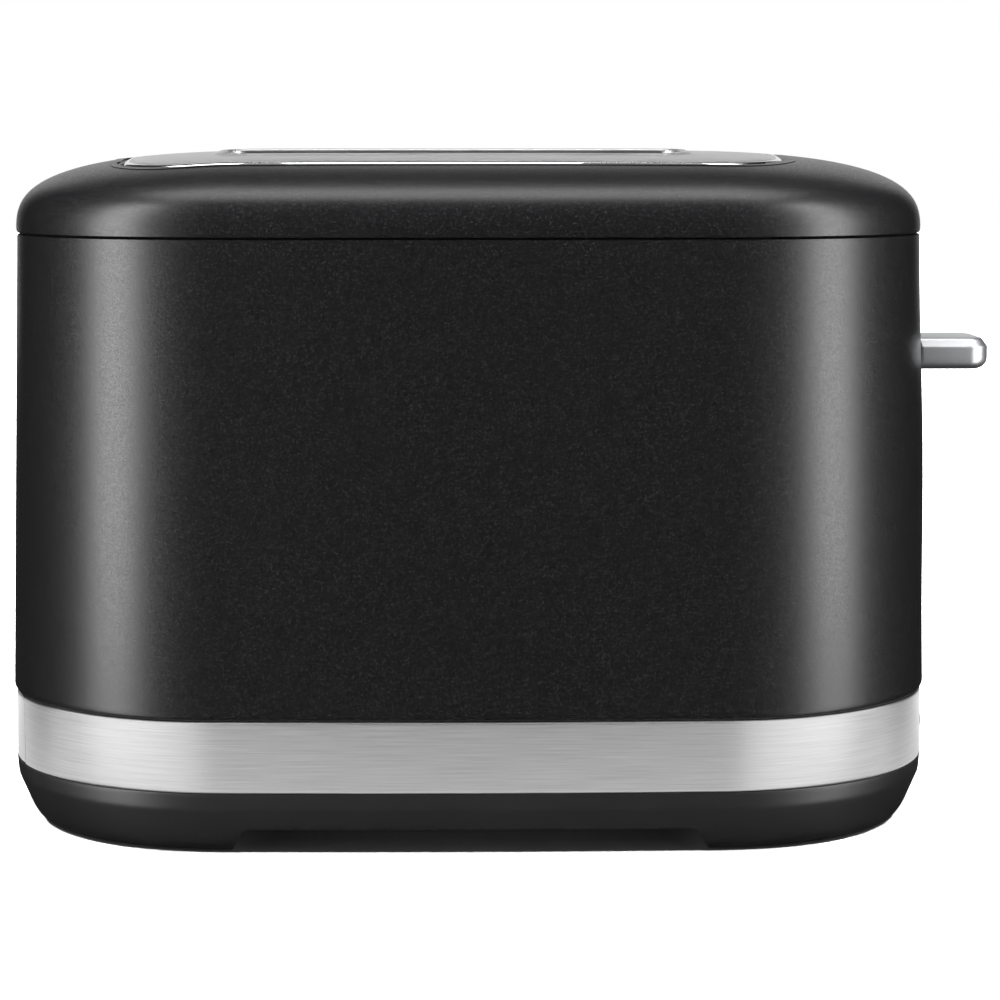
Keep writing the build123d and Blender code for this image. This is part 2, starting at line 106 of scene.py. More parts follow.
# Lever grip, and the hole in it for the lever's arm
GRIP_CROWN = 0.5
ARM_REACH = 15.9
ARM_HALF = 1.52
ARM_Z = (130.98, 137.02)

# Crowned panel and its slots: a size is length, width and corner radius; steps go along, across and round
PANEL_CENTRE = -4.6
PANEL_SIZE = (188.7, 124.0, 22.0)
PANEL_GAP = 1.0
PANEL_SEAT = 186.0
SLOT_SIZE = (132.0, 33.0, 6.0)
SLOT_Y = 28.0
SLOT_STEPS = (24, 8, 8)
PANEL_STEPS = (34, 22, 12)

# Chambers
CAGE_Z = (47.0, 170.0)
CAGE_HALF = 14.0
PIVOT_X = (-76.4, -30.0, 20.0, 66.9)
HOOP_X = (-69.0, 60.0)
HOOP_BEND = 5.0
BAR_COUNT = 10
BAR_START = -66.0
BAR_PITCH = 13.7
RIBBON_RUNS = 11
RIBBON_X = (-68.5, 59.0)
RIBBON_Z = (54.0, 162.0)
RIBBON_WIDTH = 1.8
RIBBON_DEPTH = (0.42, 0.68)

# Controls in the band
BUTTON_Z = 27.0
BUTTON_RADIUS = 3.8
BUTTON_FLANGE = 4.5
BUTTON_CLEARANCE = 0.25
FLANGE_X = 126.0
LENS_Z = 34.3
LENS_PITCH = 4.0
FUNCTION_LENSES = (18.5, 25.0)
LENS_HOLE = 1.1


# ---------------------------------------------------------------- shapes

def ramp(value, low, high):
    """Share of the way from low to high, held between 0 and 1."""
    return min(max((value - low) / (high - low), 0), 1)


def last_inside(outside, high, steps):
    """Largest value up to high that a test doesn't call outside, by halving."""
    low = 0.0
    for _ in range(steps):
        middle = (low + high) / 2
        if outside(middle):
            high = middle
        else:
            low = middle
    return low


def round_ring(centre, radius, turns):
    """Points round a circle."""
    angles = [2 * math.pi * k / turns for k in range(turns)]
    return [(centre[0] + radius * math.cos(a), centre[1] + radius * math.sin(a)) for a in angles]


def four_quarters(quarter):
    """Closed ring from a quarter that runs from the +X axis to the +Y axis."""
    second = [(-x, y) for x, y in reversed(quarter)]
    half = quarter[:-1] + second[:-1]
    return half + [(-x, -y) for x, y in half]


def plan_arcs(inset):
    """Side, end and corner circles of the body's outline in its +X +Y quarter, drawn in by an inset."""
    shrink = 1 - inset / HALF_WIDTH
    x = HALF_LENGTH - inset
    y = HALF_WIDTH - inset
    side_bow = SIDE_BOW * shrink
    end_bow = END_BOW * shrink
    side_radius = ((x - end_bow) ** 2 + side_bow ** 2) / (2 * side_bow)
    end_radius = ((y - side_bow) ** 2 + end_bow ** 2) / (2 * end_bow)
    side = (0.0, y - side_radius, side_radius)
    end = (x - end_radius, 0.0, end_radius)
    corner_radius = CORNER_RADIUS * shrink
    from_side = side_radius - corner_radius
    from_end = end_radius - corner_radius
    span = math.hypot(end[0] - side[0], end[1] - side[1])
    along = (from_side ** 2 - from_end ** 2 + span ** 2) / (2 * span)
    across = math.sqrt(max(from_side ** 2 - along ** 2, 0))
    ux = (end[0] - side[0]) / span
    uy = (end[1] - side[1]) / span
    centres = []
    for s in (-1, 1):
        centres.append((side[0] + ux * along - s * uy * across, side[1] + uy * along + s * ux * across))
    centre = max(centres, key=sum)
    return side, end, (centre[0], centre[1], corner_radius)


def plan_ring(inset, marks=None):
    """Outline of the body as points; marks is a half width on the ends that gets a point of its own."""
    side, end, corner = plan_arcs(inset)
    low = math.atan2(corner[1] - end[1], corner[0] - end[0])
    high = math.atan2(corner[1] - side[1], corner[0] - side[0])
    meet = end[1] + end[2] * math.sin(low)
    widths = [0.0, meet * 0.125, meet * 0.25] if marks is None else [0.0, marks / 2, marks]
    widths += [widths[2] + (meet - widths[2]) * k / 4 for k in range(1, 5)]
    quarter = [(end[0] + math.sqrt(end[2] ** 2 - y * y), y) for y in widths]
    for k in range(1, 29):
        angle = low + (high - low) * k / 28
        quarter.append((corner[0] + corner[2] * math.cos(angle), corner[1] + corner[2] * math.sin(angle)))
    for k in range(1, 19):
        angle = high + (math.pi / 2 - high) * k / 18
        quarter.append((side[2] * math.cos(angle), side[1] + side[2] * math.sin(angle)))
    return four_quarters(quarter)


def plan_distance(x, y, inset):
    """Signed distance of a point from the outline drawn in by an inset."""
    side, end, corner = plan_arcs(inset)
    px, py = abs(x), abs(y)
    angle = math.atan2(py - corner[1], px - corner[0])
    low = math.atan2(corner[1] - end[1], corner[0] - end[0])
    high = math.atan2(corner[1] - side[1], corner[0] - side[0])
    if low < angle < high:
        return math.hypot(px - corner[0], py - corner[1]) - corner[2]
    from_side = math.hypot(px - side[0], py - side[1]) - side[2]
    from_end = math.hypot(px - end[0], py - end[1]) - end[2]
    return max(from_side, from_end)


def inset_at(x, y):
    """How far a point is drawn in from the body's outline."""
    return last_inside(lambda inset: plan_distance(x, y, inset) > 0, HALF_WIDTH - 1, 26)


def rise(inset):
    """Height of the cap's skin at an inset."""
    drawn = (inset - CAP_INSET) / (1 - CAP_INSET / HALF_WIDTH)
    run = min(1.0, 1 - drawn / HALF_WIDTH)
    return CAP_EDGE + (CREST - CAP_EDGE) * (1 - run ** CAP_POWER) ** (1 / CAP_ROUND)


def crown(x, y):
    """Height of the cap's skin over a point."""
    return rise(inset_at(x, y))


def rectangle_ring(centre, size, grow, steps):
    """Ring round a rectangle with round corners, grown outward."""
    half_x = size[0] / 2 + grow
    half_y = size[1] / 2 + grow
    radius = size[2] + grow
    core = (half_x - radius, half_y - radius)
    along, across, turns = steps
    quarter = [(half_x, core[1] * k / across) for k in range(across)]
    for k in range(turns):
        angle = math.pi / 2 * k / turns
        quarter.append((core[0] + radius * math.cos(angle), core[1] + radius * math.sin(angle)))
    quarter += [(core[0] * (1 - k / along), half_y) for k in range(along + 1)]
    return [(centre[0] + x, centre[1] + y) for x, y in four_quarters(quarter)]


def rectangle_distance(x, y, centre, size, grow):
    """Signed distance from such a ring."""
    radius = size[2] + grow
    beyond_x = abs(x - centre[0]) - size[0] / 2 - grow + radius
    beyond_y = abs(y - centre[1]) - size[1] / 2 - grow + radius
    outside = math.hypot(max(beyond_x, 0), max(beyond_y, 0))
    return outside + min(max(beyond_x, beyond_y), 0) - radius


def round_polygon(corners, inset, turns=8):
    """Ring round an upright polygon given as (x, y, radius), anticlockwise, drawn in by an inset."""
    ring = []
    count = len(corners)
    for index in range(count):
        here = Vector(corners[index][:2])
        before = (Vector(corners[index - 1][:2]) - here).normalized()
        after = (Vector(corners[(index + 1) % count][:2]) - here).normalized()
        half = before.angle(after) / 2
        inward = (before + after).normalized()
        radius = max(corners[index][2] - inset, 0.05)
        centre = here + inward * ((radius + inset) / math.sin(half))
        start = centre + Vector((-before.y, before.x)) * radius
        finish = centre + Vector((after.y, -after.x)) * radius
        first = math.atan2(start.y - centre.y, start.x - centre.x)
        last = math.atan2(finish.y - centre.y, finish.x - centre.x)
        turn = (last - first) % (2 * math.pi)
        for k in range(turns + 1):
            angle = first + turn * k / turns
            ring.append((centre.x + radius * math.cos(angle), centre.y + radius * math.sin(angle)))
    return ring


class Skin:
    """Points and faces of one piece, in millimetres about the middle of the body."""

    def __init__(self):
        self.points = []
        self.faces = []

    def loft(self, rings, closed=False, start_cap=False, end_cap=False, skip=None):
        """Joins rings of equal length; closed also joins the last to the first."""
        first = len(self.points)
        count = len(rings[0])
        for ring in rings:
            self.points.extend(ring)
        rows = len(rings) if closed else len(rings) - 1
        for row in range(rows):
            upper = (row + 1) % len(rings)
            for i in range(count):
                j = (i + 1) % count
                face = [first + row * count + i, first + row * count + j,
                        first + upper * count + j, first + upper * count + i]
                if skip is None or not skip([self.points[k] for k in face]):
                    self.faces.append(face)
        if start_cap:
            self.faces.append(list(range(first, first + count))[::-1])
        if end_cap:
            last = first + (len(rings) - 1) * count
            self.faces.append(list(range(last, last + count)))
        return self

    def block(self, x, y, z):
        """Box between two limits on each axis."""
        plan = [(x[0], y[0]), (x[1], y[0]), (x[1], y[1]), (x[0], y[1])]
        rings = [[(across, deep, up) for across, deep in plan] for up in z]
        return self.loft(rings, start_cap=True, end_cap=True)

    def barrel(self, centre, profile, turns=32, start_cap=True, end_cap=True):
        """Turned solid along X through (x, radius) pairs, about a (y, z) centre."""
        rings = [[(x, y, z) for y, z in round_ring(centre, radius, turns)] for x, radius in profile]
        return self.loft(rings, start_cap=start_cap, end_cap=end_cap)

    def tube(self, path, radius, turns=10, closed=False):
        """Round wire along a path."""
        rings = []
        count = len(path)
        path = [Vector(p) for p in path]
        side = None
        for i in range(count):
            if closed:
                ahead = path[(i + 1) % count] - path[i - 1]
            else:
                ahead = path[min(i + 1, count - 1)] - path[max(i - 1, 0)]
            ahead.normalize()
            if side is None:
                side = ahead.cross(Vector((0.3, 1.0, 0.2))).normalized()
            side = (side - ahead * side.dot(ahead)).normalized()
            other = ahead.cross(side)
            angles = [2 * math.pi * k / turns for k in range(turns)]
            spokes = [side * math.cos(a) + other * math.sin(a) for a in angles]
            rings.append([tuple(path[i] + spoke * radius) for spoke in spokes])
        return self.loft(rings, closed=closed, start_cap=not closed, end_cap=not closed)


def mark_edges(mesh, degrees):
    """Shades a mesh smooth except over edges sharper than an angle."""
    work = bmesh.new()
    work.from_mesh(mesh)
    for face in work.faces:
        face.smooth = True
    for edge in work.edges:
        edge.smooth = len(edge.link_faces) == 2 and edge.calc_face_angle(0) < math.radians(degrees)
    work.to_mesh(mesh)
    work.free()


def settle(obj):
    """Applies an object's modifiers."""
    bpy.context.view_layer.update()
    ready = obj.evaluated_get(bpy.context.evaluated_depsgraph_get())
    mesh = bpy.data.meshes.new_from_object(ready)
    obj.modifiers.clear()
    obj.data = mesh


def mesh_object(name, skin):
    """Object from a skin, with its points merged and its faces turned outward."""
    mesh = bpy.data.meshes.new(name)
    mesh.from_pydata([((x + MIDDLE) * MM, y * MM, z * MM) for x, y, z in skin.points], [], skin.faces)
    work = bmesh.new()
    work.from_mesh(mesh)
    bmesh.ops.remove_doubles(work, verts=work.verts, dist=1e-6)
    bmesh.ops.recalc_face_normals(work, faces=work.faces)
    work.to_mesh(mesh)
    work.free()
    obj = bpy.data.objects.new(name, mesh)
    bpy.context.scene.collection.objects.link(obj)
    return obj


def bevel_edges(obj, width, sharpest):
    """Adds a bevel of a width in millimetres to the edges that turn by more than an angle."""
    soften = obj.modifiers.new("edges", "BEVEL")
    soften.width = width * MM
    soften.segments = 2
    soften.limit_method = "ANGLE"
    soften.angle_limit = math.radians(sharpest)


def paint(obj, material):
    """Gives an object one finish."""
    obj.data.materials.clear()
    obj.data.materials.append(material)


def make(name, skin, body, material, stands_for=(), sharp=35, cutters=(), keep=None, bevel=0,
         sheet=0):
    """Makes one piece: cuts it, thickens or bevels it, gives it its finish and sets it on its body."""
    obj = mesh_object(name, skin)
    tools = [(mesh_object(name + "_cutter", cutter), "DIFFERENCE") for cutter in cutters]
    if keep is not None:
        tools.append((mesh_object(name + "_keeper", keep), "INTERSECT"))
    for tool, operation in tools:
        cut = obj.modifiers.new("cut", "BOOLEAN")
        cut.operation = operation
        cut.solver = "EXACT"
        cut.use_self = operation == "DIFFERENCE"
        cut.object = tool
    if sheet:
        thick = obj.modifiers.new("sheet", "SOLIDIFY")
        thick.thickness = sheet * MM
        thick.offset = -1
    if bevel:
        bevel_edges(obj, bevel, 40)
    if obj.modifiers:
        settle(obj)
    for tool, _ in tools:
        bpy.data.objects.remove(tool)
    mark_edges(obj.data, sharp)
    paint(obj, material)
    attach(obj, body)
    if stands_for:
        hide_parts(*stands_for)
    return obj


# ---------------------------------------------------------------- finishes

def colour(code):
    """Linear colour from an sRGB hex value."""
    parts = [int(code[i:i + 2], 16) / 255 for i in (1, 3, 5)]
    return tuple(c / 12.92 if c <= 0.04045 else ((c + 0.055) / 1.055) ** 2.4 for c in parts) + (1.0,)


def per_metre(size):
    """How many marks of a size in millimetres fit in a metre, which is a pattern's scale."""
    return 1000 / size


def blank(name):
    """Material with no nodes yet."""
    material = bpy.data.materials.new(name)
    material.use_nodes = True
    material.node_tree.nodes.clear()
    return material


def add(owner, kind, settings=None, inputs=None):
    """Adds a node to a material or to the world, with its settings and its inputs' values and links."""
    tree = owner.node_tree
    made = tree.nodes.new(kind)
    for name, value in (settings or {}).items():
        setattr(made, name, value)
    for name, value in (inputs or {}).items():
        if isinstance(value, bpy.types.NodeSocket):
            tree.links.new(value, made.inputs[name])
        else:
            made.inputs[name].default_value = value
    return made


def flaked_enamel(name, base, fleck, roughness, flake_size):
    """Baked satin enamel with a trace of aluminium flake: near black, with a fine glitter where light rakes it.
    Real flake is 0.05 to 0.1 mm, too fine to show, so it is drawn several times coarser."""
    material = blank(name)
    where = add(material, "ShaderNodeTexCoord").outputs["Object"]
    flakes = add(material, "ShaderNodeTexVoronoi", None, {"Vector": where, "Scale": per_metre(flake_size)})
    cell = add(material, "ShaderNodeSeparateColor", None, {"Color": flakes.outputs["Color"]})
    bright = add(material, "ShaderNodeMapRange", None, {"Value": cell.outputs[0], "From Min": 0.82})
    tone = add(material, "ShaderNodeMix", {"data_type": "RGBA"}, {
        0: bright.outputs[0], 6: colour(base), 7: colour(fleck)})
    gloss = add(material, "ShaderNodeMapRange", None, {
        "Value": cell.outputs[1], "To Min": roughness - 0.06, "To Max": roughness + 0.06})
    peel = add(material, "ShaderNodeTexNoise", None, {
        "Vector": where, "Scale": per_metre(flake_size * 1.3), "Detail": 3.0, "Roughness": 0.6})
    relief = add(material, "ShaderNodeBump", None, {
        "Height": peel.outputs[0], "Strength": 0.35, "Distance": 0.03 * MM})
    shader = add(material, "ShaderNodeBsdfPrincipled", None, {
        "Metallic": 0.0, "IOR": 1.5, "Base Color": tone.outputs[2], "Roughness": gloss.outputs[0],
        "Normal": relief.outputs[0]})
    add(material, "ShaderNodeOutputMaterial", None, {"Surface": shader.outputs[0]})
    return material


def moulded(name, base, worn, roughness, grain, depth=0.03, ior=1.5):
    """Injection-moulded plastic from a spark-eroded tool: an even fine grain and slightly uneven gloss."""
    material = blank(name)
    where = add(material, "ShaderNodeTexCoord").outputs["Object"]
    cloud = add(material, "ShaderNodeTexNoise", None, {"Vector": where, "Scale": per_metre(18), "Detail": 2.0})
    tone = add(material, "ShaderNodeMix", {"data_type": "RGBA"}, {
        0: cloud.outputs[0], 6: colour(base), 7: colour(worn)})
    gloss = add(material, "ShaderNodeMapRange", None, {
        "Value": cloud.outputs[0], "To Min": roughness - 0.05, "To Max": roughness + 0.05})
    pits = add(material, "ShaderNodeTexNoise", None, {
        "Vector": where, "Scale": per_metre(grain), "Detail": 2.0})
    relief = add(material, "ShaderNodeBump", None, {
        "Height": pits.outputs[0], "Strength": 0.4, "Distance": depth * MM})
    shader = add(material, "ShaderNodeBsdfPrincipled", None, {
        "Metallic": 0.0, "IOR": ior, "Base Color": tone.outputs[2], "Roughness": gloss.outputs[0],
        "Normal": relief.outputs[0]})
    add(material, "ShaderNodeOutputMaterial", None, {"Surface": shader.outputs[0]})
    return material


def brushed(name, base, bright, roughness, grain, turn, axis):
    """Stainless sheet brushed with a fine belt: long hair lines along the grain smear a highlight across it.
    Real scratches are a few hundredths of a millimetre wide, so these are drawn coarser to show."""
    material = blank(name)
    where = add(material, "ShaderNodeTexCoord").outputs["Object"]
    along = add(material, "ShaderNodeMapping", None, {
        "Vector": where, "Scale": [per_metre(size) for size in grain]})
    hair = add(material, "ShaderNodeTexNoise", None, {
        "Vector": along.outputs[0], "Scale": 1.0, "Detail": 4.0, "Roughness": 0.65})
    streak = add(material, "ShaderNodeMapRange", None, {
        "Value": hair.outputs[0], "From Min": 0.3, "From Max": 0.7})
    tone = add(material, "ShaderNodeMix", {"data_type": "RGBA"}, {
        0: streak.outputs[0], 6: colour(base), 7: colour(bright)})
    gloss = add(material, "ShaderNodeMapRange", None, {
        "Value": streak.outputs[0], "To Min": roughness - 0.06, "To Max": roughness + 0.06})
    relief = add(material, "ShaderNodeBump", None, {
        "Height": hair.outputs[0], "Strength": 0.22, "Distance": 0.012 * MM})
    tangent = add(material, "ShaderNodeTangent", {"direction_type": "RADIAL", "axis": axis})
    shader = add(material, "ShaderNodeBsdfPrincipled", None, {
        "Metallic": 1.0, "Anisotropic": 0.75, "Anisotropic Rotation": turn, "Base Color": tone.outputs[2],
        "Roughness": gloss.outputs[0], "Normal": relief.outputs[0], "Tangent": tangent.outputs[0]})
    add(material, "ShaderNodeOutputMaterial", None, {"Surface": shader.outputs[0]})
    return material


def rolled_metal(name, base, bright, roughness, patch, depth=0.01):
    """Plain mill-finished or plated metal: cloudy tone and small unevenness of the surface."""
    material = blank(name)
    where = add(material, "ShaderNodeTexCoord").outputs["Object"]
    cloud = add(material, "ShaderNodeTexNoise", None, {
        "Vector": where, "Scale": per_metre(patch), "Detail": 4.0})
    tone = add(material, "ShaderNodeMix", {"data_type": "RGBA"}, {
        0: cloud.outputs[0], 6: colour(base), 7: colour(bright)})
    gloss = add(material, "ShaderNodeMapRange", None, {
        "Value": cloud.outputs[0], "To Min": roughness - 0.08, "To Max": roughness + 0.08})
    relief = add(material, "ShaderNodeBump", None, {
        "Height": cloud.outputs[0], "Strength": 0.3, "Distance": depth * MM})
    shader = add(material, "ShaderNodeBsdfPrincipled", None, {
        "Metallic": 1.0, "Base Color": tone.outputs[2], "Roughness": gloss.outputs[0],
        "Normal": relief.outputs[0]})
    add(material, "ShaderNodeOutputMaterial", None, {"Surface": shader.outputs[0]})
    return material


def spangled_zinc():
    """Hot-dip galvanised sheet: flat crystals of 4 mm or so that each catch the light differently."""
    material = blank("galvanised_sheet")
    where = add(material, "ShaderNodeTexCoord").outputs["Object"]
    crystal = add(material, "ShaderNodeTexVoronoi", None, {"Vector": where, "Scale": per_metre(4)})
    cell = add(material, "ShaderNodeSeparateColor", None, {"Color": crystal.outputs["Color"]})
    tone = add(material, "ShaderNodeMix", {"data_type": "RGBA"}, {
        0: cell.outputs[0], 6: colour("#9c9fa1"), 7: colour("#babdc0")})
    gloss = add(material, "ShaderNodeMapRange", None, {
        "Value": cell.outputs[1], "To Min": 0.32, "To Max": 0.5})
    shader = add(material, "ShaderNodeBsdfPrincipled", None, {
        "Metallic": 1.0, "Base Color": tone.outputs[2], "Roughness": gloss.outputs[0]})
    add(material, "ShaderNodeOutputMaterial", None, {"Surface": shader.outputs[0]})
    return material


def pressed_mica():
    """Mica flakes pressed into a board: pale fawn with darker scales a few millimetres across."""
    material = blank("pressed_mica")
    where = add(material, "ShaderNodeTexCoord").outputs["Object"]
    scales = add(material, "ShaderNodeTexVoronoi", None, {"Vector": where, "Scale": per_metre(3)})
    cell = add(material, "ShaderNodeSeparateColor", None, {"Color": scales.outputs["Color"]})
    tone = add(material, "ShaderNodeMix", {"data_type": "RGBA"}, {
        0: cell.outputs[0], 6: colour("#9a8f7c"), 7: colour("#c2b7a2")})
    gloss = add(material, "ShaderNodeMapRange", None, {
        "Value": cell.outputs[1], "To Min": 0.35, "To Max": 0.6})
    relief = add(material, "ShaderNodeBump", None, {
        "Height": scales.outputs[0], "Strength": 0.3, "Distance": 0.05 * MM})
    shader = add(material, "ShaderNodeBsdfPrincipled", None, {
        "Metallic": 0.0, "IOR": 1.58, "Base Color": tone.outputs[2], "Roughness": gloss.outputs[0],
        "Normal": relief.outputs[0]})
    add(material, "ShaderNodeOutputMaterial", None, {"Surface": shader.outputs[0]})
    return material


def clear_acrylic():
    """Moulded light pipe: clear, with a faint haze from its tool."""
    material = blank("clear_acrylic")
    where = add(material, "ShaderNodeTexCoord").outputs["Object"]
    haze = add(material, "ShaderNodeTexNoise", None, {"Vector": where, "Scale": per_metre(0.8)})
    gloss = add(material, "ShaderNodeMapRange", None, {
        "Value": haze.outputs[0], "To Min": 0.15, "To Max": 0.35})
    shader = add(material, "ShaderNodeBsdfPrincipled", None, {
        "Base Color": colour("#f2f5f7"), "IOR": 1.49, "Transmission Weight": 0.7,
        "Roughness": gloss.outputs[0]})
    add(material, "ShaderNodeOutputMaterial", None, {"Surface": shader.outputs[0]})
    return material


# Baked enamel on the wrap: a deep satin black that spreads its highlights
enamel = flaked_enamel("satin_black_enamel", "#080809", "#1b1b1d", 0.36, 0.34)
# The same enamel on the cap, so that wrap and cap read as one skin
cap_enamel = flaked_enamel("satin_black_cap_enamel", "#080809", "#1b1b1d", 0.36, 0.34)
# Grained ABS of the base: a flat charcoal, a shade lighter than the enamel
base_abs = moulded("grained_black_abs", "#111112", "#151516", 0.42, 0.45)
# Trim from a finer tool: a quiet satin black
trim_abs = moulded("satin_black_abs", "#1a1a1b", "#202021", 0.42, 0.4, 0.02)
# Buttons from a smooth tool: a soft light on each rounded edge
button_abs = moulded("satin_button_abs", "#19191a", "#1e1e1f", 0.34, 0.4, 0.012)
# Pad-printed ink: opaque white with hardly any shine
print_white = moulded("printed_white_ink", "#d8d8d6", "#e4e4e2", 0.5, 0.3, 0.004)
# Matt ABS inside the seam that takes up the light, its colour painted near black as painted shade, so the seam is
# a black line
seam_shade_abs = moulded("matt_black_abs_painted_seam_shade", "#050505", "#080808", 0.95, 0.5, ior=1.3)
# Rubber feet: dull black
foot_rubber = moulded("moulded_rubber", "#161616", "#1e1e1e", 0.8, 0.6, 0.05, 1.52)
# Stainless brushed along the band: fine level lines, with its highlights drawn out upright
band_steel = brushed("brushed_stainless_band", "#bbbbbb", "#d7d7d7", 0.42, (22, 22, 0.30), 0.25, "Z")
# Stainless brushed along the top: fine lines from end to end, with its highlights drawn out across them
top_steel = brushed("brushed_stainless_top", "#b8b8b8", "#d2d2d2", 0.36, (22, 0.30, 0.30), 0.0, "X")
# Buffed edge of the top sheet: a thin bright line
polished_steel = rolled_metal("polished_stainless_edge", "#d9dbdc", "#e6e7e8", 0.16, 6, 0.004)
# Bead-blasted aluminium lever: an even pale grey with broad soft highlights
blasted_aluminium = rolled_metal("bead_blasted_aluminium", "#bfc1c3", "#cbcdcf", 0.42, 0.5, 0.012)
# Bright-drawn wire: a narrow highlight along each wire
drawn_wire = rolled_metal("bright_drawn_wire", "#a3a5a7", "#bfc1c3", 0.3, 1.5)
# Zinc-plated screws: cool grey with a soft shine
plated_screw = rolled_metal("zinc_plated_steel", "#9fa2a4", "#b4b7ba", 0.35, 1.2)
# Pressed iron of the magnet: dull dark grey metal
magnet_iron = rolled_metal("pressed_iron", "#6a6b6d", "#7f8082", 0.5, 1.5)
# Aluminised reflectors: nearly a mirror, with a faint haze
aluminised = rolled_metal("bright_aluminised_sheet", "#c4c6c8", "#d6d8da", 0.22, 12)
# Heater ribbon dulled by its own heat: brown grey with little shine
oxidised_ribbon = rolled_metal("oxidised_ribbon", "#5c5650", "#7c746a", 0.45, 2)
# Enamelled copper winding: warm orange brown with fine glossy turns
winding_wire = rolled_metal("enamelled_copper", "#8f4a22", "#b0622f", 0.3, 0.6, 0.03)
zinc_sheet = spangled_zinc()
mica = pressed_mica()
acrylic = clear_acrylic()
# Circuit board under its mask: semi-gloss dark green
board_laminate = moulded("green_mask_laminate", "#1c4a2c", "#255a37", 0.4, 0.8)
# Epoxy component cases: near black with a slight shine
component_epoxy = moulded("moulded_epoxy", "#1d1d20", "#2a2a2e", 0.35, 0.5, 0.02, 1.55)
# Nylon switch bodies: dull dark grey
switch_nylon = moulded("switch_nylon", "#2a2a2a", "#343434", 0.5, 0.5, 0.02, 1.53)
# Uncoloured nylon terminals: milky cream
terminal_nylon = moulded("natural_nylon", "#cfcabb", "#ddd8ca", 0.5, 0.6, 0.02, 1.53)


# ---------------------------------------------------------------- outer pieces

def level(ring, z):
    """Ring of plan points set at one height."""
    return [(x, y, z) for x, y in ring]


def draped(ring, lift):
    """Ring of plan points laid on the crown, raised by a lift."""
    return [(x, y, crown(x, y) + lift) for x, y in ring]


def body_wrap():
    """Tapered steel wrap with a rolled lower edge, a soft swell at the lever end and the lever's window."""
    def tapered(z, depth):
        inset = WRAP_FLARE * (z - WRAP_BOTTOM) / (WRAP_TOP - WRAP_BOTTOM) + depth
        ring = plan_ring(inset, WINDOW_HALF)
        swell = SWELL * math.sin(math.pi * ramp(z, *SWELL_Z)) ** 2 if depth < WRAP_SHEET else 0
        placed = []
        for x, y in ring:
            share = ramp(abs(y), *SWELL_FADE) if x > 60 else 0
            placed.append((x + swell * share * share * (3 - 2 * share), y, z))
        return placed

    rows = []
    for k in range(7):
        angle = math.pi / 2 * k / 6
        rows.append((WRAP_BOTTOM + WRAP_ROLL * (1 - math.cos(angle)), WRAP_SHEET * (1 - math.sin(angle))))
    levels = [41.0, 46.0, 52.0, 58.0, WINDOW_Z[0]]
    levels += [WINDOW_Z[0] + (WINDOW_Z[1] - WINDOW_Z[0]) * k / 14 for k in range(1, 15)]
    levels += [160.0, 165.0, 169.6]
    rows += [(z, 0.0) for z in levels]
    rows += [(WRAP_TOP - 0.12, 0.05), (WRAP_TOP, 0.25)]
    outer = [tapered(z, depth) for z, depth in rows]
    inner = [tapered(z, WRAP_SHEET) for z in [WRAP_TOP] + levels[::-1] + [40.2]]

    def in_window(corners):
        return all(x > 100 and abs(y) < WINDOW_HALF + 0.01 and WINDOW_Z[0] - 0.01 < z < WINDOW_Z[1] + 0.01
                   for x, y, z in corners)

    skin = Skin().loft(outer + inner, closed=True, skip=in_window)
    obj = make("wrap_shell", skin, "chassis", enamel, ("body_wrap",))
    work = bmesh.new()
    work.from_mesh(obj.data)
    open_edges = [edge for edge in work.edges if len(edge.link_faces) == 1]
    bmesh.ops.bridge_loops(work, edges=open_edges)
    bmesh.ops.recalc_face_normals(work, faces=work.faces)
    work.to_mesh(obj.data)
    work.free()
    mark_edges(obj.data, 35)
    return obj


def cap():
    """Domed cap: one skin from its lower edge over the shoulder to the pocket that holds the steel panel."""
    centre = (PANEL_CENTRE, 0)
    turned_in = [(2.2, 0.4), (1.9, 0.05), (0.5, 0.0), (0.12, 0.25)]
    rings = [level(plan_ring(CAP_INSET + depth), CAP_EDGE + up) for depth, up in turned_in]
    insets = [0.02, 0.1, 0.25, 0.5, 0.9, 1.4, 2.0, 2.8, 3.8, 5.0, 6.5, 8.2, 10.2, 12.5, 15.0, 17.5]
    narrowing = 1 - CAP_INSET / HALF_WIDTH
    for drawn in insets:
        inset = CAP_INSET + drawn * narrowing
        rings.append(level(plan_ring(inset), rise(inset)))
    shoulder = plan_ring(CAP_INSET + insets[-1] * narrowing)

    def toward(x, y, share):
        return centre[0] + (x - centre[0]) * share, y * share

    def beyond_pocket(x, y, share):
        return rectangle_distance(*toward(x, y, share), centre, PANEL_SIZE, PANEL_GAP) > 0

    mouth = []
    for x, y in shoulder:
        mouth.append(toward(x, y, last_inside(lambda share: beyond_pocket(x, y, share), 1.0, 30)))

    def between(share):
        return [(a + (c - a) * share, b + (d - b) * share) for (a, b), (c, d) in zip(shoulder, mouth)]

    def outward(distance):
        ring = []
        for x, y in mouth:
            away = Vector((x - centre[0], y)).normalized()
            ring.append((x + away.x * distance, y + away.y * distance))
        return ring

    for k in range(1, 9):
        rings.append(draped(between(k * 0.115), 0))
    for distance, drop in ((1.5, 0.0), (1.0, -0.12), (0.5, -0.45), (0.12, -1.0), (0.0, -1.7)):
        rings.append(draped(outward(distance), drop))
    rings.append(level(mouth, PANEL_SEAT))
    rings.append(level(outward(-12), PANEL_SEAT))
    make("domed_cap", Skin().loft(rings), "chassis", cap_enamel, ("top_housing",), sheet=1.2)
    outside = plan_ring(NECK_INSET)
    inside = plan_ring(NECK_INSET + NECK_WALL)
    neck = [level(outside, NECK_BOTTOM), level(outside, CAP_EDGE + 1), level(inside, CAP_EDGE + 1),
            level(inside, NECK_BOTTOM)]
    # The neck's near-black colour is painted shade that darkens the seam between cap and wrap
    make("cap_neck", Skin().loft(neck, closed=True), "chassis", seam_shade_abs, ())


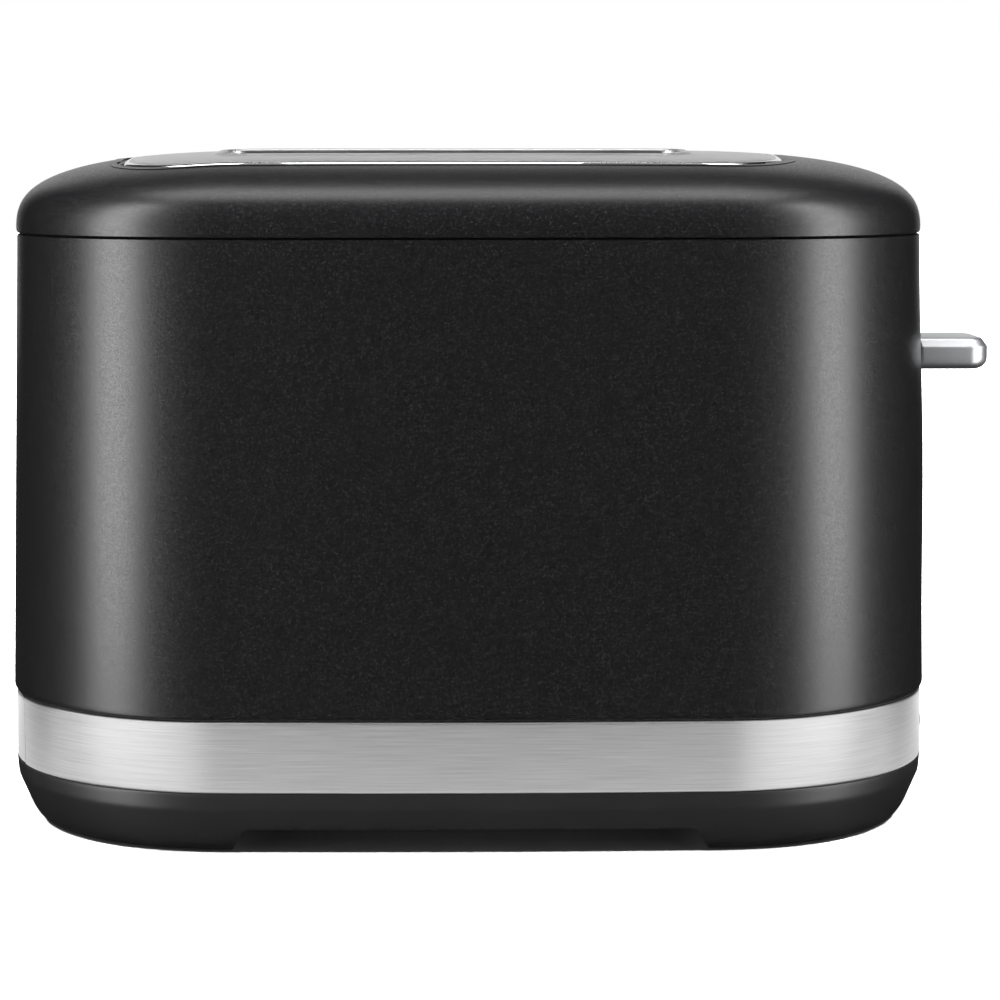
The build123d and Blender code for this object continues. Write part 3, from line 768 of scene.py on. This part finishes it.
def panel():
    """Crowned brushed sheet with raised slot lips and throats; its rim is a polished, turned-down edge."""
    centre = (PANEL_CENTRE, 0)
    skin = Skin()
    rim = [(-3.5, 0.0), (-3.1, -0.05), (-2.7, -0.26), (-2.3, -0.26), (-1.9, -0.05)]
    outer = rectangle_ring(centre, PANEL_SIZE, rim[0][0], PANEL_STEPS)
    skin.loft([draped(rectangle_ring(centre, PANEL_SIZE, grow, PANEL_STEPS), lift) for grow, lift in rim])
    lip = [(2.9, 0.0), (2.5, 0.05), (2.1, 0.25), (1.5, 0.46), (0.9, 0.5), (0.4, 0.36), (0.1, 0.0), (0.0, -0.6)]
    loops = [outer]
    for side in (-1, 1):
        place_at = (PANEL_CENTRE, side * SLOT_Y)
        rings = [draped(rectangle_ring(place_at, SLOT_SIZE, grow, SLOT_STEPS), lift) for grow, lift in lip]
        bottom = rectangle_ring(place_at, SLOT_SIZE, 0, SLOT_STEPS)
        rings += [level(bottom, 188.0), level(bottom, 180.4)]
        skin.loft(rings)
        loops.append(rectangle_ring(place_at, SLOT_SIZE, lip[0][0], SLOT_STEPS))
    flat = [Vector(p) for loop in loops for p in loop]
    edges = []
    start = 0
    for loop in loops:
        edges += [(start + k, start + (k + 1) % len(loop)) for k in range(len(loop))]
        start += len(loop)
    for i in range(-24, 25):
        for j in range(-16, 17):
            x, y = centre[0] + i * 3.9, j * 3.9
            clear = -rectangle_distance(x, y, centre, PANEL_SIZE, rim[0][0])
            for side in (-1, 1):
                gap = rectangle_distance(x, y, (PANEL_CENTRE, side * SLOT_Y), SLOT_SIZE, lip[0][0])
                clear = min(clear, gap)
            if clear > 1.8:
                flat.append(Vector((x, y)))
    points, _, triangles, _, _, _ = delaunay_2d_cdt(flat, edges, [], 0, 1e-5)
    first = len(skin.points)
    skin.points.extend([(p.x, p.y, crown(p.x, p.y)) for p in points])
    for triangle in triangles:
        x = sum(points[k].x for k in triangle) / 3
        y = sum(points[k].y for k in triangle) / 3
        inside = rectangle_distance(x, y, centre, PANEL_SIZE, rim[0][0]) < 0
        solid = all(rectangle_distance(x, y, (PANEL_CENTRE, side * SLOT_Y), SLOT_SIZE, lip[0][0]) > 0
                    for side in (-1, 1))
        if inside and solid:
            skin.faces.append([first + k for k in triangle])
    make("brushed_top", skin, "chassis", top_steel, ("top_panel",), sheet=0.6, sharp=50)

    edge = [(-1.9, -0.05), (-1.6, 0.02), (-1.25, 0.0), (-0.9, -0.12), (-0.55, -0.36), (-0.25, -0.75),
            (-0.06, -1.25), (0.0, -1.8), (0.0, -2.4)]
    rings = [draped(rectangle_ring(centre, PANEL_SIZE, grow, PANEL_STEPS), lift) for grow, lift in edge]
    rings.append(level(rectangle_ring(centre, PANEL_SIZE, 0, PANEL_STEPS), PANEL_SEAT + 0.1))
    make("polished_rim", Skin().loft(rings), "chassis", polished_steel, (), sheet=0.6,
         sharp=50)


def band_rings(inset, thickness, z, radius):
    """Closed section of a band whose outer edges are rounded."""
    rows = [(z[0], thickness), (z[0], radius)]
    rows += [(z[0] + radius * (1 - math.cos(a)), radius * (1 - math.sin(a))) for a in (0.5, 1.05)]
    rows += [(z[0] + radius, 0.0), (z[0] + radius + 0.4, 0.0)]
    rows += [(z[0] + (z[1] - z[0]) * k / 4, 0.0) for k in (1, 2, 3)]
    rows += [(z[1] - radius - 0.4, 0.0), (z[1] - radius, 0.0)]
    rows += [(z[1] - radius * (1 - math.cos(a)), radius * (1 - math.sin(a))) for a in (1.05, 0.5)]
    rows += [(z[1], radius), (z[1], thickness)]
    return [level(plan_ring(inset + depth), height) for height, depth in rows]


def button_places():
    """Name and Y position of each push-button, from the frame."""
    found = []
    for name in sorted(nodes):
        if name.endswith("_button"):
            low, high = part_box(name)
            found.append((name, (low.y + high.y) / 2 / MM))
    return found


def lens_places():
    """Y positions of the lights."""
    browning = [(step - 3) * LENS_PITCH for step in range(7)]
    return browning + [side * y for side in (-1, 1) for y in FUNCTION_LENSES]


def steel_band():
    """Brushed band with its holes, and the crumb tray's door cut from the same strip."""
    def tray_end(half):
        return Skin().block((-150, -90), (-half, half), (0, 60))

    skin = Skin().loft(band_rings(BAND_INSET, BAND_SHEET, (BASE_TOP, BAND_TOP), BAND_EDGE), closed=True)
    holes = Skin()
    for _, y in button_places():
        hole = BUTTON_RADIUS + BUTTON_CLEARANCE
        holes.barrel((y, BUTTON_Z), [(110, hole), (150, hole)], 40)
    for y in lens_places():
        holes.barrel((y, LENS_Z), [(110, LENS_HOLE), (150, LENS_HOLE)], 20)
    make("band_strip", skin, "chassis", band_steel, ("steel_band",),
         cutters=(holes, tray_end(DOOR_HALF + DOOR_GAP)), sharp=40)
    z = (BASE_TOP + DOOR_TRIM, BAND_TOP - DOOR_TRIM)
    door = Skin().loft(band_rings(BAND_INSET, DOOR_SHEET, z, BAND_EDGE), closed=True)
    make("tray_front", door, "crumb_tray", band_steel, ("crumb_tray_door",),
         keep=tray_end(DOOR_HALF), sharp=40)


def base_tub():
    """Moulded base: a steep upper facet, a soft crease, and a lower flank that curls under to two long feet.
    The profile is (height, inset), from the underside up."""
    profile = [(0.5, 15.0), (0.5, 12.6), (0.62, 11.6), (1.2, 10.4), (2.0, 9.4), (3.0, 8.4), (4.6, 7.15),
               (6.4, 6.0), (8.6, 4.65), (11.0, 3.2), (13.0, 2.02), (13.5, 1.76), (13.9, 1.58), (14.4, 1.42),
               (15.2, 1.28), (17.0, 1.07), (18.2, 0.94), (18.5, 1.05), (18.6, 1.4)]
    rings = []
    for z, inset in profile:
        fuller = (HALF_LENGTH - END_TUCK * inset) / (HALF_LENGTH - inset)
        rings.append(level([(x * fuller, y) for x, y in plan_ring(inset)], z))
    skin = Skin().loft(rings, start_cap=True, end_cap=True)
    foot_x, foot_z = ARCH_FOOT
    section = round_polygon([(-foot_x, foot_z, 0.1), (foot_x, foot_z, 0.1),
                             (ARCH_HALF, ARCH_HEIGHT, ARCH_CORNER), (-ARCH_HALF, ARCH_HEIGHT, ARCH_CORNER)], 0)
    arch = Skin().loft([[(x, y, z) for x, z in section] for y in (-110, 110)], start_cap=True, end_cap=True)
    vents = Skin()
    for step in range(9):
        x = (step - 4) * VENT_PITCH
        signs = ((-1, -1), (1, -1), (1, 1), (-1, 1))
        outline = round_polygon([(x + i * VENT_HALF[0], j * VENT_HALF[1], VENT_CORNER) for i, j in signs], 0)
        vents.loft([level(outline, z) for z in (5.0, 12.5)], start_cap=True, end_cap=True)
    for x in (-PAD_AT[0], PAD_AT[0]):
        for y in (-PAD_AT[1], PAD_AT[1]):
            outline = round_ring((x, y), PAD_RADIUS, 40)
            vents.loft([level(outline, z) for z in (-1.0, 3.0)], start_cap=True, end_cap=True)
    make("base_moulding", skin, "chassis", base_abs, ("base",), cutters=(arch, vents),
         sharp=30, bevel=0.35)


def lever_grip():
    """Satin aluminium grip: a flat bar with round tip corners, a chamfered top and a belly that tucks under."""
    low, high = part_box("lever_handle")
    x = (low.x / MM - MIDDLE, high.x / MM - MIDDLE)
    half = (high.y - low.y) / 2 / MM
    z = (low.z / MM, high.z / MM + GRIP_CROWN)
    corners = [(x[0], -half, 0.8), (x[1], -half, 6.0), (x[1], half, 6.0), (x[0], half, 0.8)]
    under = [(0.0, 3.0), (0.35, 2.0), (0.9, 1.15), (1.6, 0.5), (2.4, 0.14), (3.2, 0.0)]
    over = [(3.0, 0.0), (2.6, 0.02), (2.35, 0.16), (2.1, 0.36), (0.75, 1.3), (0.45, 1.5), (0.15, 1.9),
            (0.0, 2.5)]
    rows = [(z[0] + up, inset) for up, inset in under] + [(z[1] - down, inset) for down, inset in over]
    rings = []
    for height, inset in rows:
        fuller = (x[1] - inset - x[0]) / (x[1] - x[0] - 2 * inset)
        outline = round_polygon(corners, inset, 12)
        rings.append([(x[0] + (px - x[0] - inset) * fuller, py, height) for px, py in outline])
    skin = Skin().loft(rings, start_cap=True, end_cap=True)
    arm = Skin().block((x[0] - 1, x[0] + ARM_REACH), (-ARM_HALF, ARM_HALF), ARM_Z)
    make("lever_grip", skin, "bread_lift", blasted_aluminium, ("lever_handle",),
         cutters=(arm,), sharp=40)


body_wrap()
cap()
panel()
steel_band()
base_tub()
lever_grip()


# ---------------------------------------------------------------- controls

def symbol(name, y, face):
    """Plain printed mark on a button's face, drawn in the YZ plane."""
    skin = Skin()
    x = (face - 0.02, face + 0.05)

    def stroke(length, angle, away=0.0, width=0.5, up=0.0):
        along = Vector((math.cos(angle), math.sin(angle)))
        over = Vector((-along.y, along.x))
        middle = Vector((y, BUTTON_Z + up)) + over * away
        run = along * length / 2
        side = over * width / 2
        ends = [middle - run - side, middle + run - side, middle + run + side, middle - run + side]
        skin.loft([[(depth, p.x, p.y) for p in ends] for depth in x], start_cap=True, end_cap=True)

    def circle(radius, width=0.5):
        rings = []
        for depth, reach in ((x[0], radius), (x[1], radius), (x[1], radius - width), (x[0], radius - width)):
            rings.append([(depth, across, up) for across, up in round_ring((y, BUTTON_Z), reach, 28)])
        skin.loft(rings, closed=True)

    if name.startswith("defrost"):
        for k in range(3):
            stroke(3.8, math.pi / 2 + k * math.pi / 3, width=0.36)
    elif name.startswith("bagel"):
        circle(1.9, 0.36)
        circle(0.75, 0.3)
    elif name.startswith("minus"):
        stroke(3.4, 0)
    elif name.startswith("plus"):
        stroke(3.4, 0)
        stroke(3.4, math.pi / 2)
    elif name.startswith("warm"):
        for shift in (-1.1, 0.0, 1.1):
            stroke(2.5, math.pi / 2, away=shift, width=0.34, up=0.3)
        stroke(3.2, 0, up=-1.7, width=0.34)
    else:
        circle(1.9, 0.36)
        stroke(3.1, math.pi / 4, width=0.36)
    return skin


def controls():
    """Six turned buttons with printed marks."""
    for name, y in button_places():
        low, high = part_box(name)
        face = high.x / MM - MIDDLE
        back = low.x / MM - MIDDLE
        edge = BUTTON_RADIUS
        profile = [(back, 2.0), (back, edge - 0.1), (FLANGE_X - 1.4, edge - 0.1),
                   (FLANGE_X - 1.3, BUTTON_FLANGE - 0.1), (FLANGE_X, BUTTON_FLANGE), (FLANGE_X + 0.02, edge),
                   (face - 1.3, edge), (face - 1.0, edge - 0.04), (face - 0.65, edge - 0.2),
                   (face - 0.42, edge - 0.45), (face - 0.3, edge - 0.8), (face - 0.18, 2.2), (face - 0.1, 1.0)]
        make(name + "_cap", Skin().barrel((y, BUTTON_Z), profile, 40), name, button_abs, (name,),
             sharp=45)
        make(name + "_mark", symbol(name, y, face - 0.14), name, print_white, ())


controls()


# ---------------------------------------------------------------- toasting chambers

def arc_points(centre, radius, start, end, steps):
    """Points round part of a circle in the XZ plane."""
    angles = [math.radians(start + (end - start) * k / steps) for k in range(steps + 1)]
    return [(centre[0] + radius * math.cos(a), centre[1] + radius * math.sin(a)) for a in angles]


def guide_cages():
    """Bread cages: a wire frame with bent corners on a straight pivot wire, and upright wires welded to it."""
    for row, side in (("front", -1), ("rear", 1)):
        for name, offset in (("inner", -CAGE_HALF), ("outer", CAGE_HALF)):
            node = f"guide_cage_{row}_{name}"
            y = side * (SLOT_Y + offset)
            low, high = CAGE_Z
            skin = Skin()
            skin.tube([(x, y, low) for x in PIVOT_X], 1.0, 14)
            left, right = HOOP_X
            hoop = [(left, low)]
            hoop += arc_points((left + HOOP_BEND, high - HOOP_BEND), HOOP_BEND, 180, 90, 8)
            hoop += arc_points((right - HOOP_BEND, high - HOOP_BEND), HOOP_BEND, 90, 0, 8)
            hoop.append((right, low))
            skin.tube([(x, y, z) for x, z in hoop], 0.95, 12)
            for step in range(1, BAR_COUNT - 1):
                x = BAR_START + step * BAR_PITCH
                skin.tube([(x, y, low - 0.4), (x, y, 110), (x, y, high + 0.4)], 0.8, 10)
            make(f"bread_guard_{row}_{name}", skin, node, drawn_wire, (node,), sharp=50)


def heater_ribbons():
    """Flat ribbon wound across each card, with its turns at the card's ends."""
    left, right = RIBBON_X
    low, high = RIBBON_Z
    for name, y, faces in (("front", -50.0, (1,)), ("centre", 0.0, (-1, 1)), ("rear", 50.0, (-1,))):
        skin = Skin()
        for face in faces:
            across = sorted(y + face * depth for depth in RIBBON_DEPTH)
            heights = [low + (high - low) * (step / (RIBBON_RUNS - 1)) ** 1.15 for step in range(RIBBON_RUNS)]
            for step, z in enumerate(heights):
                skin.block(RIBBON_X, across, (z, z + RIBBON_WIDTH))
                if step + 1 < RIBBON_RUNS:
                    end = (right - RIBBON_WIDTH, right) if step % 2 else (left, left + RIBBON_WIDTH)
                    skin.block(end, across, (z + RIBBON_WIDTH, heights[step + 1]))
        node = f"heater_ribbon_{name}"
        make(f"wound_ribbon_{name}", skin, "chassis", oxidised_ribbon, (node,))


guide_cages()
heater_ribbons()


# ---------------------------------------------------------------- carried-over nodes

# Each node's finish and the width of its edges' bevel
carried = {
    "foot_pads": (foot_rubber, 0.8), "base_screws": (plated_screw, 0.4), "lever_slot_bezel": (trim_abs, 0.25),
    "chassis_floor": (zinc_sheet, 0.2), "chassis_screws": (plated_screw, 0.4), "end_plate_left": (zinc_sheet, 0.2),
    "end_plate_right": (zinc_sheet, 0.2), "top_frame": (zinc_sheet, 0.2), "guide_rods": (drawn_wire, 0.3),
    "carriage": (zinc_sheet, 0.25), "keeper_plate": (magnet_iron, 0.3), "magnet_core": (magnet_iron, 0.3),
    "magnet_coil": (winding_wire, 0.8), "return_spring": (drawn_wire, 0), "mains_switch": (switch_nylon, 0.4),
    "main_board": (board_laminate, 0.15), "board_components": (component_epoxy, 0.4),
    "terminal_block": (terminal_nylon, 0.5), "cord_gland": (trim_abs, 0.4), "tray_rails": (zinc_sheet, 0.2),
    "crumb_tray_pan": (zinc_sheet, 0.25), "button_board": (board_laminate, 0.15),
    "button_switches": (switch_nylon, 0.3), "indicator_lenses": (acrylic, 0.12),
    "reflector_front": (aluminised, 0.1), "reflector_rear": (aluminised, 0.1),
    "bread_rack_front": (drawn_wire, 0.2), "bread_rack_rear": (drawn_wire, 0.2),
    "heater_card_front": (mica, 0.1), "heater_card_centre": (mica, 0.1), "heater_card_rear": (mica, 0.1),
}
for name, (material, edge) in carried.items():
    paint(nodes[name], material)
    if edge:
        bevel_edges(nodes[name], edge, 50)


# ---------------------------------------------------------------- camera, floor and light

CAMERA_AT = Vector((MIDDLE - 5.0, -899.3, 196.0)) * MM
CAMERA_YAW = 0.0160
CAMERA_PITCH = math.radians(4.1)

camera_data = bpy.data.cameras.new("product_camera")
camera_data.sensor_width = 36
camera_data.lens = 107.9
camera_data.shift_y = -0.14
camera = bpy.data.objects.new("product_camera", camera_data)
camera.location = CAMERA_AT
ahead = Vector((math.sin(CAMERA_YAW) * math.cos(CAMERA_PITCH), math.cos(CAMERA_YAW) * math.cos(CAMERA_PITCH),
                -math.sin(CAMERA_PITCH)))
camera.rotation_mode = "QUATERNION"
camera.rotation_quaternion = ahead.to_track_quat("-Z", "Y")
bpy.context.scene.collection.objects.link(camera)
bpy.context.scene.camera = camera
bpy.context.scene.view_settings.view_transform = "Standard"


def softbox(name, place_at, size, glow, lit_group=None, aim=None):
    """Rectangular studio light, in metres; its glow is its face's brightness beside white paper. It faces the
    body's upright axis unless it has an aim, and lights only the pieces of its group if it has one."""
    data = bpy.data.lights.new(name, "AREA")
    data.shape = "RECTANGLE"
    data.size, data.size_y = size
    data.energy = glow * math.pi * size[0] * size[1]
    lamp = bpy.data.objects.new(name, data)
    lamp.location = place_at
    lamp.rotation_mode = "QUATERNION"
    target = aim or (MIDDLE * MM, 0, place_at[2])
    lamp.rotation_quaternion = (Vector(target) - Vector(place_at)).to_track_quat("-Z", "Y")
    bpy.context.scene.collection.objects.link(lamp)
    if lit_group:
        lamp.light_linking.receiver_collection = lit_group
    return lamp


def around(degrees, distance, z):
    """Point round the toaster; 0 degrees is in front and positive turns towards the lever."""
    angle = math.radians(degrees)
    return (MIDDLE * MM + distance * math.sin(angle), -distance * math.cos(angle), z)


def group_of(name, pieces, state="INCLUDE"):
    """Collection of pieces that a light keeps to, or passes over."""
    group = bpy.data.collections.new(name)
    for piece in pieces:
        group.objects.link(bpy.data.objects[piece])
    for member in group.collection_objects:
        member.light_linking.link_state = state
    return group


FLOOR_HALF = 6000
floor_skin = Skin()
floor_skin.points = [(i * FLOOR_HALF, j * FLOOR_HALF, 0) for i, j in ((-1, -1), (1, -1), (1, 1), (-1, 1))]
floor_skin.faces = [[0, 1, 2, 3]]
floor = mesh_object("studio_floor", floor_skin)
# White board with no sheen, which takes only shadows
matt_board = blank("matt_white_board")
board_shader = add(matt_board, "ShaderNodeBsdfPrincipled", None, {
    "Base Color": colour("#f4f4f4"), "Roughness": 0.8, "Specular IOR Level": 0.0})
add(matt_board, "ShaderNodeOutputMaterial", None, {"Surface": board_shader.outputs[0]})
paint(floor, matt_board)
floor.visible_glossy = False

BAND_PIECES = ("band_strip", "tray_front")
band_only = group_of("lit_band", BAND_PIECES)
not_band = group_of("unlit_band", BAND_PIECES, "EXCLUDE")
edge_lit = group_of("lit_edges", BAND_PIECES + ("lever_grip",))
through_table = group_of("light_through_table", ("studio_floor",), "EXCLUDE")

# An upright strip by each corner and its image in the table draw the streaks on the enamel; the band has wings
for side, angle, glow in (("left", -59.5, 10.5), ("right", 63.5, 9.4)):
    strip = softbox(f"{side}_strip", around(angle, 0.5, 0.34), (0.17, 0.68), glow, not_band)
    mirrored_strip = softbox(f"{side}_strip_in_table", around(angle, 0.5, -0.16), (0.17, 0.3), 0.5 * glow,
                             not_band)
    mirrored_strip.light_linking.blocker_collection = through_table
    strip.visible_diffuse = False
    mirrored_strip.visible_diffuse = False
    softbox(f"{side}_wing", around(angle, 1.0, 0.5), (1.9, 1.0), 1.4, band_only)
softbox("band_edge_light", around(0, 1.1, 1.2), (1.6, 0.3), 2.5, edge_lit, (MIDDLE * MM, -0.09, 0.04))
softbox("overhead_softbox", around(0, 0.08, 1.6), (1.5, 0.75), 4.4, None, (MIDDLE * MM, -0.08, 0))
softbox("rear_card", around(180, 1.6, 0.6), (1.8, 1.15), 0.9)
# The table's own glow on the band's lower edge
for side, turn, away, size in (("front", 0, 0.155, (0.9, 0.12)), ("rear", 180, 0.155, (0.9, 0.12)),
                               ("left", 270, 0.205, (0.12, 0.7)), ("right", 90, 0.205, (0.12, 0.7))):
    spot = around(turn, away, 0.0012)
    softbox(f"floor_glow_{side}", spot, size, 1.15, band_only, (spot[0], spot[1], 1))

# Three broad suns light the table from high up, so that its shadow stays close under the base
all_but_lever = group_of("no_floor_shadow", ("lever_grip",), "EXCLUDE")
for side, turn in (("front", 0), ("left", -75), ("right", 75)):
    key_data = bpy.data.lights.new(f"floor_key_{side}", "SUN")
    key_data.energy = 4.6
    key_data.angle = math.radians(5)
    key = bpy.data.objects.new(f"floor_key_{side}", key_data)
    key.rotation_euler = (math.radians(36), 0, math.radians(turn))
    key.visible_glossy = False
    key.light_linking.blocker_collection = all_but_lever
    bpy.context.scene.collection.objects.link(key)

world = bpy.data.worlds.new("white_studio")
bpy.context.scene.world = world
world.use_nodes = True
world.node_tree.nodes.clear()
# White to the camera, nearly dark in reflections and dim for everything else
seen = add(world, "ShaderNodeBackground", None, {"Color": (1, 1, 1, 1)})
dim = add(world, "ShaderNodeBackground", None, {"Color": (0.12, 0.12, 0.12, 1)})
mirrored = add(world, "ShaderNodeBackground", None, {"Color": (0.02, 0.02, 0.02, 1)})
rays = add(world, "ShaderNodeLightPath")
unseen = add(world, "ShaderNodeMixShader", None, {
    0: rays.outputs["Is Glossy Ray"], 1: dim.outputs[0], 2: mirrored.outputs[0]})
choice = add(world, "ShaderNodeMixShader", None, {
    0: rays.outputs["Is Camera Ray"], 1: unseen.outputs[0], 2: seen.outputs[0]})
add(world, "ShaderNodeOutputWorld", None, {"Surface": choice.outputs[0]})
